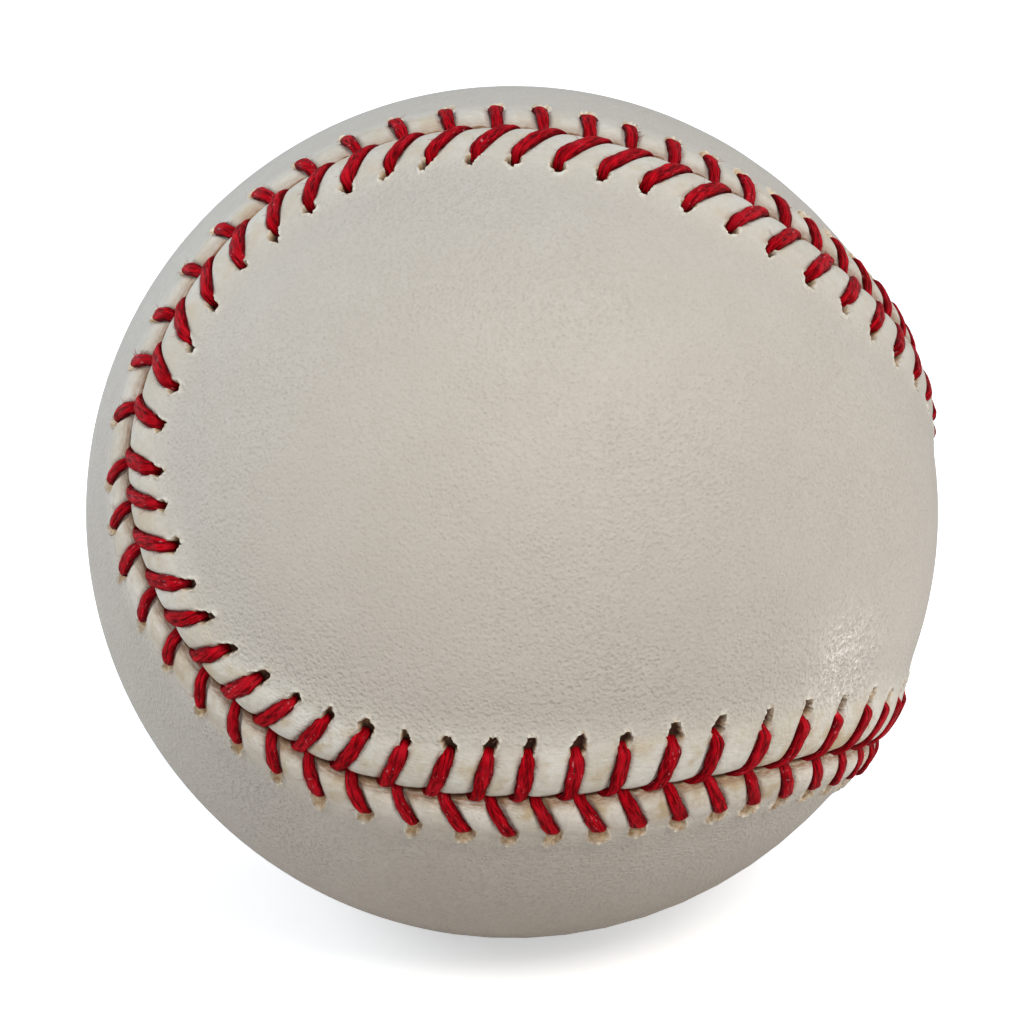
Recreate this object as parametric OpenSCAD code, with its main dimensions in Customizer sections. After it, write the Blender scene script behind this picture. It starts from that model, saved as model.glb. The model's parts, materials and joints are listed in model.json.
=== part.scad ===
// Baseball built the way a sewn ball is: a cork and rubber middle, four layers of yarn, a coat
// of cement, and a cover of two leather panels that two waxed threads lace together.
// The origin is the centre of the ball, +Z is up, and the face that looks along -Y is the
// broad end of panel A, with the seam round it like a horseshoe that opens towards +X.

/* [Middle] */
// Diameter of the cork ball
cork_d = 20.64; // [18:0.02:23]
// Wall of the black rubber shells
black_wall = 3.12; // [2.4:0.02:3.8]
// Thickness of each washer between the black shells
washer_t = 0.8; // [0.4:0.1:1.4]
// Wall of the red rubber layer
red_wall = 3.13; // [2.4:0.02:3.8]

/* [Windings] */
// Depth of the four-ply grey wool
grey_wool_wall = 14.61; // [12:0.1:17]
// Depth of the three-ply white wool
white_wool_wall = 1.72; // [1.2:0.02:2.2]
// Depth of the three-ply grey wool over it
outer_wool_wall = 2.22; // [1.6:0.02:2.8]
// Depth of the fine finishing yarn
finish_wall = 0.3; // [0.2:0.02:0.6]
// Thickness of the cement coat
cement_t = 0.12; // [0.08:0.02:0.3]

/* [Cover] */
// Thickness of the leather
leather_t = 1.15; // [1:0.05:1.5]
// Half angle of a panel's waist, seen from the centre of the ball
waist_angle = 22.1; // [19:0.1:27]
// Distance from the seam to the crest of the raised leather beside it
crest_in = 2; // [1.4:0.1:2.6]
// Distance from the seam to where the leather meets the round of the ball again
foot_in = 7.6; // [6.4:0.1:9]
// How much a stitch draws the leather down at the crest
bed_fall = 0.12; // [0:0.02:0.25]
// How much the leather swells between two stitches
pillow_rise = 0.25; // [0:0.05:0.4]
// How much the leather rolls down into the seam
edge_fall = 0.3; // [0.1:0.05:0.5]

/* [Stitches] */
// Number of stitches round the seam
stitches = 108; // [96:4:116]
// Distance from the seam to the middle of a stitch hole in panel A
hole_a_in = 4.5; // [3.8:0.1:5]
// Distance from the seam to the middle of a stitch hole in panel B
hole_b_in = 3.5; // [3.3:0.1:5]
// Width of the flattened thread
thread_w = 1.15; // [0.8:0.05:1.3]
// Thickness of the flattened thread
thread_t = 0.55; // [0.35:0.05:0.7]

/* [Attitude] */
// Roll of the sewn cover about X, then Y, then Z
roll_x_angle = -22.4; // [-180:0.1:180]
roll_y_angle = 11.7; // [-180:0.1:180]
roll_z_angle = 8; // [-180:0.1:180]

/* [Hidden] */
$fn = 96;

// Room between one layer of the middle and the next
nest_gap = 0.05;
// Room under the leather, for the flats of its facets
seat_gap = 0.26;
// Room on each side of a thread
thread_gap = 0.11;

// Radius outside each layer, from the middle out
cork_r = cork_d / 2;
black_r = cork_r + nest_gap + black_wall;
red_r = black_r + nest_gap + red_wall;
grey_wool_r = red_r + nest_gap + grey_wool_wall;
white_wool_r = grey_wool_r + nest_gap + white_wool_wall;
outer_wool_r = white_wool_r + nest_gap + outer_wool_wall;
finish_r = outer_wool_r + nest_gap + finish_wall;
cement_r = finish_r + nest_gap + cement_t;
hide_r = cement_r + seat_gap;
ball_r = hide_r + leather_t;

// Radii of the raised leather over the hidden stretches of thread
lift = thread_t + 2 * thread_gap - seat_gap;
welt_low_r = hide_r + lift;
welt_r = ball_r + lift;
bed_r = welt_r - bed_fall;
pillow_r = welt_r + pillow_rise;
edge_r = welt_r - edge_fall;
// Radius of the middle of a thread, under the leather and over it
thread_low_r = cement_r + thread_gap + thread_t / 2;
thread_hole_r = bed_r + thread_gap + thread_t / 2;
thread_top_r = bed_r + pillow_rise / 2 + thread_gap + thread_t / 2;
thread_dip_r = edge_r + pillow_rise / 2 + thread_gap + thread_t / 2;

// Seam: a curve on the unit sphere that wanders between the two waists as t runs from 0 to 720
end_angle = 720;
step_angle = 1;
function latitude(t) = (90 - waist_angle) * cos(t);
function azimuth(t) = t / 2 + waist_angle * sin(2 * t);
function seam_point(t) =
    [sin(latitude(t)), cos(latitude(t)) * sin(azimuth(t)), cos(latitude(t)) * cos(azimuth(t))];
// Length along the seam against t, read backwards to step along it evenly
seam_steps = [for (i = 0, s = 0; i <= end_angle / step_angle;
    s = s + norm(seam_point((i + 1) * step_angle) - seam_point(i * step_angle)), i = i + 1)
    [s, i * step_angle]];
seam_len = seam_steps[len(seam_steps) - 1][0];
pitch = seam_len * ball_r / stitches;

// Directions at a place on the seam, given as a share of its length: out, along, and across
// from panel A to panel B
function unit(v) = v / norm(v);
function seam_frame(share) =
    let (t = lookup((share - floor(share)) * seam_len, seam_steps),
        out = seam_point(t),
        along = unit(seam_point(t + step_angle) - seam_point(t - step_angle)))
    [out, along, cross(out, along)];
// The same directions at a distance to panel A's side of the seam
function surface_frame(share, dist) =
    let (f = seam_frame(share), a = dist / ball_r * 180 / PI)
    [cos(a) * f[0] - sin(a) * f[2], f[1], cos(a) * f[2] + sin(a) * f[0]];
function place(share, dist, r) = r * surface_frame(share, dist)[0];
// Place of stitch k along the seam. The stitches crowd together and spread out again four times
// on the way round, as the waists and the broad ends of the panels come past.
first_share = 0.64;
crowd_share = 0.29;
crowd_angle = 43;
function even_at(k) = (k + first_share) / stitches;
function stitch_at(k) =
    even_at(k) + crowd_share / stitches * sin(4 * 360 * even_at(k) - crowd_angle);

// Side of stitch k that a panel's legs cross the seam on, how far they lean back from there to
// their holes, both as shares of the pitch, and how far the holes lie from the seam
cross_share = 0.175;
lean_a_share = 0.6;
lean_b_share = 0.3;
sewing_a = [cross_share, lean_a_share, hole_a_in];
sewing_b = [-cross_share, lean_b_share, hole_b_in];
// The lean grows on one panel where it falls on the other
sway_share = 0.19;
sway_angle = 27;
function lean(k, sewing, side) =
    sewing[1] - side * sway_share * sin(2 * 360 * even_at(k) + sway_angle);
// A stitch's line at a distance from the seam: it leans back as far as the hole, and then runs on
function line_at(k, sewing, dist, side = 1) =
    stitch_at(k) + (sewing[0] - lean(k, sewing, side) * min(1, dist / sewing[2])) / stitches;
// Slot that a stitch passes through, with its thread's room round it
slot_half_l = thread_t / 2 + thread_gap;
slot_half_w = thread_w / 2 + thread_gap;
edge_in = thread_t / 2 + thread_gap;

// One row of a panel, with a few places for each stitch: on its line, or on the way to the next
beds = [0];
beds_and_pillows = [0, 0.5];
function row(sewing, places, dist, radii) =
    [for (k = [0 : stitches - 1]) for (j = [0 : len(places) - 1])
        place(line_at(k + places[j], sewing, dist), dist, radii[j])];

// A panel's middle line runs through its waist, between the centres of its two broad ends, and
// the rows beside it share its stations; at the centres they fan out
fan_share = 0.13;
fan_steps = round(stitches * fan_share);
function station(i) =
    let (half = stitches / 2,
        m = i % stitches,
        s = m <= half ? min(m, half - m) : -min(m - half, stitches - m))
    max(-fan_steps, min(fan_steps, s));
function middle_line(s) =
    let (a = 90 * s / fan_steps) [cos(a), sin(a), 0];
// Rows between the foot of the welt and the middle line
fill_shares = [0.16, 0.37, 0.58, 0.79];
function fill_row(share, r) =
    [for (i = [0 : stitches - 1])
        r * unit(place(i / stitches, foot_in, 1) * (1 - share) + middle_line(station(i)) * share)];
function fill_rows(r) = [for (share = fill_shares) fill_row(share, r)];
function middle_row(r) = [for (s = [-fan_steps : fan_steps]) r * middle_line(s)];

// One long side of every slot; step is how far it lies from the slots' own middle line
function slot_side(sewing, step, r) =
    [for (k = [0 : stitches - 1]) for (s = [-slot_half_w, slot_half_w])
        let (f = surface_frame(line_at(k, sewing, sewing[2]), sewing[2]))
        r * unit(ball_r * f[0] + s * f[1] - step * f[2])];

// Rows of a panel, outside from the seam inwards and then inside
function panel_rows(sewing) = concat(
    [row(sewing, beds_and_pillows, edge_in, [welt_low_r, welt_low_r]),
    row(sewing, beds_and_pillows, edge_in, [edge_r, edge_r + pillow_rise / 2]),
    row(sewing, beds_and_pillows, crest_in, [bed_r, pillow_r]),
    slot_side(sewing, -slot_half_l, bed_r),
    slot_side(sewing, slot_half_l, bed_r),
    row(sewing, beds, foot_in, [ball_r])],
    fill_rows(ball_r),
    [middle_row(ball_r),
    slot_side(sewing, -slot_half_l, welt_low_r),
    slot_side(sewing, slot_half_l, welt_low_r),
    row(sewing, beds, foot_in, [hide_r])],
    fill_rows(hide_r),
    [middle_row(hide_r)]);
// Numbers of the rows in that list
edge_low_row = 0;
slot_row = 3;
middle_line_row = 6 + len(fill_shares);
low_slot_row = middle_line_row + 1;
low_middle_row = low_slot_row + 3 + len(fill_shares);

// Faces between two closed rows; the second row has as many points, or half as many
function band(a, na, b, nb, skip_slots = false) = na == nb
    ? [for (i = [0 : na - 1]) if (!skip_slots || i % 2 == 1)
        let (j = (i + 1) % na)
        for (f = [[a + i, a + j, b + j], [a + i, b + j, b + i]]) f]
    : [for (i = [0 : nb - 1])
        let (j = (i + 1) % nb, m = a + 2 * i + 1)
        for (f = [[a + 2 * i, m, b + i], [m, b + j, b + i], [m, a + 2 * j, b + j]]) f];
// Faces from the last fill row to the middle line, which both sides share
function fan(a, b) =
    [for (i = [0 : stitches - 1])
        let (j = (i + 1) % stitches, p = b + fan_steps + station(i), q = b + fan_steps + station(j))
        for (f = p == q ? [[a + i, a + j, p]] : [[a + i, a + j, q], [a + i, q, p]]) f];
// Walls of the slots, between the outer and the inner slot rows
function slot_walls(a, b, c, d) =
    [for (k = [0 : stitches - 1])
        let (top = [a + 2 * k, a + 2 * k + 1, b + 2 * k + 1, b + 2 * k],
            low = [c + 2 * k, c + 2 * k + 1, d + 2 * k + 1, d + 2 * k])
        for (i = [0 : 3])
            let (j = (i + 1) % 4)
            for (f = [[top[i], top[j], low[j]], [top[i], low[j], low[i]]]) f];
function turned(faces) = [for (f = faces) [f[2], f[1], f[0]]];

module cover_panel(sewing) {
    rows = panel_rows(sewing);
    counts = [for (r = rows) len(r)];
    starts = [for (i = 0, s = 0; i < len(rows); s = s + counts[i], i = i + 1) s];
    outer = [for (i = [0 : middle_line_row - 2])
        for (f = band(starts[i], counts[i], starts[i + 1], counts[i + 1], i == slot_row)) f];
    outer_fan = fan(starts[middle_line_row - 1], starts[middle_line_row]);
    lip = band(starts[edge_low_row], counts[edge_low_row], starts[low_slot_row], counts[low_slot_row]);
    inner = [for (i = [low_slot_row : low_middle_row - 2])
        for (f = band(starts[i], counts[i], starts[i + 1], counts[i + 1], i == low_slot_row)) f];
    inner_fan = fan(starts[low_middle_row - 1], starts[low_middle_row]);
    walls = slot_walls(starts[slot_row], starts[slot_row + 1],
        starts[low_slot_row], starts[low_slot_row + 1]);
    polyhedron([for (r = rows) for (p = r) p],
        concat(outer, outer_fan, walls, turned(lip), turned(inner), turned(inner_fan)),
        convexity = 8);
}

// Stitching thread. Each leg comes up through its slot, crosses the raised leather to the seam,
// goes down between the panels and under the other one, and the next leg comes up there.
ring_count = 6;
// One ring of the thread: its middle, and how far its flat side faces out and forward
function thread_ring(share, dist, r, side, out, forward, slant = 0) =
    let (f = surface_frame(share, dist),
        flat = side * (out * f[0] + forward * side * f[2]) * thread_t / 2,
        wide = (cos(slant) * f[1] - sin(slant) * side * f[2]) * thread_w / 2)
    [for (j = [0 : ring_count - 1])
        let (a = 360 * j / ring_count) r * f[0] + cos(a) * wide + sin(a) * flat];
function sewing_of(side) = side > 0 ? sewing_a : sewing_b;
function thread_leg(k, side) =
    let (sewing = sewing_of(side),
        hole_in = sewing[2],
        hole_share = line_at(k, sewing, hole_in, side),
        crest_share = line_at(k, sewing, crest_in, side),
        seam_share = line_at(k, sewing, 0, side),
        slant = atan(lean(k, sewing, side) * pitch / hole_in))
    [thread_ring(hole_share, side * hole_in, thread_low_r, side, -1, -1),
    thread_ring(hole_share, side * hole_in, thread_hole_r, side, 1, -1),
    thread_ring(crest_share, side * crest_in, thread_top_r, side, 1, 0, slant),
    thread_ring(seam_share, 0, thread_dip_r, side, 1, 1),
    thread_ring(seam_share, 0, thread_low_r, side, 1, 1)];
function thread_tail(side) =
    let (sewing = sewing_of(side), seam_share = line_at(stitches - 1, sewing, 0, side))
    thread_ring(seam_share, -side * sewing[2] / 2, thread_low_r, side, 1, 0);
module seam_thread(first_side) {
    sides = [for (k = [0 : stitches - 1]) k % 2 == 0 ? first_side : -first_side];
    rings = [for (k = [0 : stitches - 1]) for (ring = thread_leg(k, sides[k])) ring];
    all_rings = concat(rings, [thread_tail(sides[stitches - 1])]);
    last = len(all_rings) - 1;
    skin = [for (i = [0 : last - 1]) for (j = [0 : ring_count - 1])
        let (m = (j + 1) % ring_count, a = i * ring_count, b = a + ring_count)
        for (f = [[a + j, a + m, b + m], [a + j, b + m, b + j]]) f];
    start_cap = [for (j = [1 : ring_count - 2]) [0, j + 1, j]];
    end_cap = [for (j = [1 : ring_count - 2])
        [last * ring_count, last * ring_count + j, last * ring_count + j + 1]];
    polyhedron([for (ring = all_rings) for (p = ring) p], concat(skin, start_cap, end_cap),
        convexity = 8);
}

// The whole sewn cover lies rolled about the centre of the ball
module as_sewn() {
    rotate([roll_x_angle, roll_y_angle, roll_z_angle]) children();
}

module hollow_ball(inside_r, outside_r) {
    difference() {
        sphere(r = outside_r);
        sphere(r = inside_r);
    }
}

// Half of the black rubber layer, cut off flat at its washer
module black_shell() {
    rotate_extrude() intersection() {
        difference() {
            circle(r = black_r);
            circle(r = cork_r + nest_gap);
        }
        translate([0, washer_t]) square([black_r, black_r]);
    }
}

module washer() {
    rotate_extrude() intersection() {
        difference() {
            circle(r = black_r);
            circle(r = cork_r + nest_gap);
        }
        square([black_r, washer_t]);
    }
}

module cork_core() color([0.69, 0.5, 0.3]) sphere(r = cork_r);
module black_shell_upper() color([0.09, 0.09, 0.1]) black_shell();
module black_shell_lower() color([0.09, 0.09, 0.1]) rotate([180, 0, 0]) black_shell();
module washer_upper() color([0.66, 0.13, 0.1]) washer();
module washer_lower() color([0.66, 0.13, 0.1]) rotate([180, 0, 0]) washer();
module red_rubber_layer() color([0.7, 0.12, 0.1]) hollow_ball(black_r + nest_gap, red_r);
module grey_wool_inner() color([0.5, 0.5, 0.5]) hollow_ball(red_r + nest_gap, grey_wool_r);
module white_wool() color([0.9, 0.89, 0.84]) hollow_ball(grey_wool_r + nest_gap, white_wool_r);
module grey_wool_outer() color([0.58, 0.58, 0.57]) hollow_ball(white_wool_r + nest_gap, outer_wool_r);
module finishing_yarn() color([0.95, 0.94, 0.9]) hollow_ball(outer_wool_r + nest_gap, finish_r);
module cement_coat() color([0.86, 0.8, 0.62]) hollow_ball(finish_r + nest_gap, cement_r);
module cover_panel_a() color([0.84, 0.81, 0.75]) as_sewn() cover_panel(sewing_a);
module cover_panel_b() color([0.82, 0.79, 0.73])
    as_sewn() mirror([1, 0, 0]) rotate([-90, 0, 0]) cover_panel(sewing_b);
module seam_thread_a() color([0.66, 0.07, 0.12]) as_sewn() seam_thread(1);
module seam_thread_b() color([0.62, 0.06, 0.11]) as_sewn() seam_thread(-1);

cork_core();
black_shell_upper();
black_shell_lower();
washer_upper();
washer_lower();
red_rubber_layer();
grey_wool_inner();
white_wool();
grey_wool_outer();
finishing_yarn();
cement_coat();
cover_panel_a();
cover_panel_b();
seam_thread_a();
seam_thread_b();
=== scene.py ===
import json
import math

import bpy
import numpy as np
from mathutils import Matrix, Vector

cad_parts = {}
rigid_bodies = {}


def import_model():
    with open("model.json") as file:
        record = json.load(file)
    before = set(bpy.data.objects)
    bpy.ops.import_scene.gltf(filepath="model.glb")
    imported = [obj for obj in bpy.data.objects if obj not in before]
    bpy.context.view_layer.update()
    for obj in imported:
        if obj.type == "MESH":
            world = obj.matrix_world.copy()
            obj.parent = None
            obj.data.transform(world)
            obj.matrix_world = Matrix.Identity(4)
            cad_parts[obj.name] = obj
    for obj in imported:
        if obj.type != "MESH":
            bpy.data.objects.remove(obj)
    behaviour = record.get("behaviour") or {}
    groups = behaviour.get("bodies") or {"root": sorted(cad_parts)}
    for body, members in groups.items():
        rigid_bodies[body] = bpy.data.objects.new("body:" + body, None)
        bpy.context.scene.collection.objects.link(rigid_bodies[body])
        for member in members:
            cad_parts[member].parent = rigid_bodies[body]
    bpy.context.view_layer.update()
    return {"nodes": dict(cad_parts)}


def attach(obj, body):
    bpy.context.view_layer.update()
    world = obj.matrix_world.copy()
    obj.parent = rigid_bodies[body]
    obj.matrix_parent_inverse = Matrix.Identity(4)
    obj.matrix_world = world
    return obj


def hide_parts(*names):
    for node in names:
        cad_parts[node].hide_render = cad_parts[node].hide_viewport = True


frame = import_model()

MM = 0.001

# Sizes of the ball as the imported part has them, in millimetres, degrees and shares of a pitch
BALL_R = 37.30
HIDE_R = 36.15
WELT_LOW_R = 36.66
STITCHES = 108
WAIST_ANGLE = 22.1
FIRST_SHARE = 0.64
CROWD_SHARE = 0.29
CROWD_ANGLE = 43
SWAY_SHARE = 0.19
SWAY_ANGLE = 27
FOOT_IN = 7.6
ROLL_ANGLES = (-22.4, 11.7, 8.0)
SIDE_A = 1
SIDE_B = -1
CROSS_SHARE = {SIDE_A: 0.175, SIDE_B: -0.175}
LEAN_SHARE = {SIDE_A: 0.6, SIDE_B: 0.3}
HOLE_IN = {SIDE_A: 4.5, SIDE_B: 3.5}

# What the points of the leather carry for its finish, each from 0 to 1. The third is painted
# shade in the holes and down the crack
LEATHER_MASKS = ("raw", "pale", "pit_shade", "welt", "dye", "soil")


# Camera
LENS_MM = 98.59
SENSOR_MM = 36
CAMERA_TILT = math.radians(15)
CAMERA_DISTANCE = 6.6553 * BALL_R * MM


def make_camera():
    """The photograph looks down 15 degrees on the ball, along +Y, from 6.66 times its radius."""
    data = bpy.data.cameras.new("camera")
    data.lens = LENS_MM
    data.sensor_width = SENSOR_MM
    data.clip_start = 0.005
    data.clip_end = 20
    camera = bpy.data.objects.new("camera", data)
    bpy.context.scene.collection.objects.link(camera)
    back = -math.cos(CAMERA_TILT) * CAMERA_DISTANCE
    camera.location = (0, back, math.sin(CAMERA_TILT) * CAMERA_DISTANCE)
    camera.rotation_euler = (math.radians(90) - CAMERA_TILT, 0, 0)
    bpy.context.scene.camera = camera


# Floor
FLOOR_SIZE = 8


def deselect_all():
    for thing in bpy.context.view_layer.objects:
        thing.select_set(False)
    bpy.context.view_layer.objects.active = None


def make_floor():
    deselect_all()
    bpy.ops.mesh.primitive_plane_add(size=1, location=(0, 0, 0))
    floor = bpy.context.active_object
    floor.name = "floor"
    bpy.ops.object.mode_set(mode="EDIT")
    bpy.ops.mesh.select_all(action="SELECT")
    bpy.ops.transform.resize(value=(FLOOR_SIZE, FLOOR_SIZE, 1))
    bpy.ops.transform.translate(value=(0, 0, -BALL_R * MM))
    bpy.ops.object.mode_set(mode="OBJECT")
    floor.data.materials.append(floor_paint())


# Light
ROOM_COLOUR = (0.87, 0.945, 1.0, 1)
ROOM_STRENGTH = 0.52
# Each light's name, place and width in metres, power in watts and colour
SOFTBOXES = (
    ("softbox_right", (0.36, -0.72, 0.74), 0.45, 7.8, (1.0, 0.94, 0.865)),
    ("softbox_left", (-0.85, -0.35, 0.62), 0.6, 2.9, (0.85, 0.93, 1.0)),
    ("softbox_back_left", (-0.85, 0.6, 0.30), 0.7, 2.6, (0.82, 0.91, 1.0)),
    ("softbox_back_right", (0.85, 0.45, 0.25), 0.5, 1.3, (0.99, 0.98, 1.0)),
    ("softbox_top", (0.05, 0.28, 0.95), 0.6, 1.1, (0.10, 0.50, 1.0)),
    ("card_left", (-0.26, 0.02, -0.012), 0.04, 0.075, (0.90, 0.94, 1.0)),
    ("card_right", (0.0698, -0.0129, -0.0276), 0.011, 0.0010, (1.0, 0.985, 0.96)),
)
# Where the leather is worn smooth and card_right makes it shine, in metres
WORN_SPOT = (0.0273, -0.0248, -0.0054)
CARD_SPREAD = math.radians(75)


def add_softbox(name, place, size, power, colour):
    data = bpy.data.lights.new(name, "AREA")
    data.shape = "DISK"
    data.size = size
    data.energy = power
    data.color = colour
    softbox = bpy.data.objects.new(name, data)
    bpy.context.scene.collection.objects.link(softbox)
    softbox.location = place
    way = -softbox.location.normalized()
    softbox.rotation_euler = way.to_track_quat("-Z", "Y").to_euler()
    softbox.visible_camera = False
    return softbox


def make_light():
    """A pale room, a large warm softbox over the camera's right shoulder, a cool one on the left,
    two behind for the limbs, a blue one above, and small low cards left and right, the right one
    for the glint."""
    world = bpy.data.worlds.new("pale_room")
    world.use_nodes = True
    back = world.node_tree.nodes["Background"]
    back.inputs["Color"].default_value = ROOM_COLOUR
    back.inputs["Strength"].default_value = ROOM_STRENGTH
    bpy.context.scene.world = world
    lights = {row[0]: add_softbox(*row) for row in SOFTBOXES}
    card = lights["card_right"]
    card.data.spread = CARD_SPREAD
    card.rotation_euler = (Vector(WORN_SPOT) - card.location).to_track_quat("-Z", "Y").to_euler()
    bpy.context.scene.view_settings.view_transform = "Standard"


# Node helpers
def link_or_set(tree, sockets, values):
    """Each socket named in values gets the number or colour given there, or a link to a node."""
    for name, value in values.items():
        if isinstance(value, bpy.types.NodeSocket):
            tree.links.new(value, sockets[name])
        else:
            sockets[name].default_value = value


def add_node(tree, kind, values, **settings):
    made = tree.nodes.new(kind)
    for name, value in settings.items():
        setattr(made, name, value)
    link_or_set(tree, made.inputs, values)
    return made.outputs


def math_node(tree, operation, *values, clamp=False):
    values = dict(enumerate(values))
    return add_node(tree, "ShaderNodeMath", values, operation=operation, use_clamp=clamp)[0]


def times(tree, a, b):
    return math_node(tree, "MULTIPLY", a, b)


def times_plus(tree, a, b, c):
    return math_node(tree, "MULTIPLY_ADD", a, b, c)


def remap(tree, value, low, high, to_low=0.0, to_high=1.0):
    """A smooth step from to_low to to_high as value goes from low to high."""
    values = {"Value": value, "From Min": low, "From Max": high}
    values.update({"To Min": to_low, "To Max": to_high})
    return add_node(tree, "ShaderNodeMapRange", values, interpolation_type="SMOOTHSTEP")["Result"]


def mix_colour(tree, share, a, b):
    return add_node(tree, "ShaderNodeMix", {0: share, 6: a, 7: b}, data_type="RGBA")[2]


def layered(tree, colour, layers):
    """A colour with others laid over it, each by its share."""
    for share, over in layers:
        colour = mix_colour(tree, share, colour, over)
    return colour


def noise(tree, vector, scale, detail=2.0, roughness=0.5, output="Fac"):
    values = {"Vector": vector, "Scale": scale, "Detail": detail, "Roughness": roughness}
    return add_node(tree, "ShaderNodeTexNoise", values)[output]


def voronoi(tree, vector, scale, feature="F1"):
    values = {"Vector": vector, "Scale": scale}
    return add_node(tree, "ShaderNodeTexVoronoi", values, feature=feature)


def colour_parts(tree, colour):
    return add_node(tree, "ShaderNodeSeparateColor", {"Color": colour})


def object_coords(tree):
    return add_node(tree, "ShaderNodeTexCoord", {})["Object"]


def attribute(tree, name, output="Fac"):
    return add_node(tree, "ShaderNodeAttribute", {}, attribute_name=name)[output]


def stretched(tree, vector, scale):
    return add_node(tree, "ShaderNodeMapping", {"Vector": vector, "Scale": scale})["Vector"]


def shifted(tree, vector, place):
    return add_node(tree, "ShaderNodeMapping", {"Vector": vector, "Location": place})["Vector"]


def wandering(tree, vector, scale, reach):
    """The same place, moved about by up to reach metres."""
    wander = noise(tree, vector, scale, output="Color")
    values = {0: wander, 1: (reach, reach, reach), 2: vector}
    return add_node(tree, "ShaderNodeVectorMath", values, operation="MULTIPLY_ADD")["Vector"]


def bump(tree, height, strength, depth):
    values = {"Height": height, "Strength": strength, "Distance": depth}
    return add_node(tree, "ShaderNodeBump", values)["Normal"]


def new_material(name):
    made = bpy.data.materials.new(name)
    made.use_nodes = True
    made.node_tree.nodes.clear()
    out = made.node_tree.nodes.new("ShaderNodeOutputMaterial")
    shader = made.node_tree.nodes.new("ShaderNodeBsdfPrincipled")
    made.node_tree.links.new(shader.outputs["BSDF"], out.inputs["Surface"])
    return made, made.node_tree, shader.inputs


def new_group(name, inputs, outputs):
    """A shared effect: its inputs are numbers, colours or vectors with a start value."""
    kinds = {float: "NodeSocketFloat", tuple: "NodeSocketColor", list: "NodeSocketVector"}
    tree = bpy.data.node_groups.new(name, "ShaderNodeTree")
    for label, start in inputs.items():
        socket = tree.interface.new_socket(label, in_out="INPUT", socket_type=kinds[type(start)])
        socket.default_value = start
    for label, kind in outputs.items():
        tree.interface.new_socket(label, in_out="OUTPUT", socket_type=kinds[kind])
    return tree, tree.nodes.new("NodeGroupInput").outputs, tree.nodes.new("NodeGroupOutput").inputs


def use_group(tree, group, values):
    return add_node(tree, "ShaderNodeGroup", values, node_tree=group)


# Shared effects
def mottle_group():
    """Cloudy variation between two colours, at two sizes."""
    start = {
        "Vector": [0.0, 0.0, 0.0],
        "Scale": 60.0,
        "Light": (1.0, 1.0, 1.0, 1.0),
        "Dark": (0.5, 0.5, 0.5, 1.0),
    }
    tree, given, out = new_group("mottle", start, {"Color": tuple, "Mask": float})
    broad = noise(tree, given["Vector"], given["Scale"], 3.0, 0.55)
    fine = noise(tree, given["Vector"], times(tree, given["Scale"], 7.3), 2.0, 0.6)
    mask = remap(tree, times_plus(tree, fine, 0.4, times(tree, broad, 0.6)), 0.36, 0.64)
    mixed = mix_colour(tree, mask, given["Dark"], given["Light"])
    link_or_set(tree, out, {"Color": mixed, "Mask": mask})
    return tree


def pore_group():
    """Dense pores and short creases of grain leather. Pores and Creases are masks, Height is for a
    bump."""
    start = {"Vector": [0.0, 0.0, 0.0], "Pore Scale": 3000.0, "Crease Scale": 1700.0}
    results = {"Pores": float, "Creases": float, "Height": float}
    tree, given, out = new_group("pores_and_grain", start, results)
    bent = wandering(tree, given["Vector"], times(tree, given["Pore Scale"], 0.35), 0.00012)
    pores = remap(tree, voronoi(tree, bent, given["Pore Scale"])["Distance"], 0.62, 0.1)
    creases = remap(tree, noise(tree, bent, given["Crease Scale"], 1.0), 0.74, 0.26)
    low = times_plus(tree, pores, 0.5, times(tree, creases, 0.5))
    height = math_node(tree, "SUBTRACT", 1.0, low)
    link_or_set(tree, out, {"Pores": pores, "Creases": creases, "Height": height})
    return tree


def yarn_group():
    """Yarn wound in crossing bands: each patch of the ball shows one direction of winding."""
    start = {"Vector": [0.0, 0.0, 0.0], "Yarns": 700.0, "Patches": 70.0}
    results = {"Height": float, "Fibre": float, "Patch": float}
    tree, given, out = new_group("wound_yarn", start, results)
    bent = wandering(tree, given["Vector"], 45.0, 0.004)
    parts = colour_parts(tree, voronoi(tree, bent, given["Patches"])["Color"])
    turns = {}
    for axis, part in zip("XYZ", ("Red", "Green", "Blue")):
        turns[axis] = times(tree, parts[part], 6.28)
    turn = add_node(tree, "ShaderNodeCombineXYZ", turns)["Vector"]
    values = {"Vector": bent, "Rotation": turn}
    turned = add_node(tree, "ShaderNodeVectorRotate", values, rotation_type="EULER_XYZ")["Vector"]
    values = {
        "Vector": turned,
        "Scale": given["Yarns"],
        "Distortion": 1.2,
        "Detail": 2.0,
        "Detail Scale": 0.6,
    }
    kind = {"wave_type": "BANDS", "bands_direction": "X", "wave_profile": "SIN"}
    waves = add_node(tree, "ShaderNodeTexWave", values, **kind)["Fac"]
    fibre = noise(tree, stretched(tree, turned, (4200, 700, 700)), 1.0, 3.0, 0.65)
    height = times_plus(tree, fibre, 0.25, times(tree, waves, 0.75))
    link_or_set(tree, out, {"Height": height, "Fibre": fibre, "Patch": parts["Red"]})
    return tree


MOTTLE = mottle_group()
PORES = pore_group()
YARN = yarn_group()


def mottled(tree, vector, scale, light, dark):
    values = {"Vector": vector, "Scale": scale, "Light": light, "Dark": dark}
    return use_group(tree, MOTTLE, values)


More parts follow.
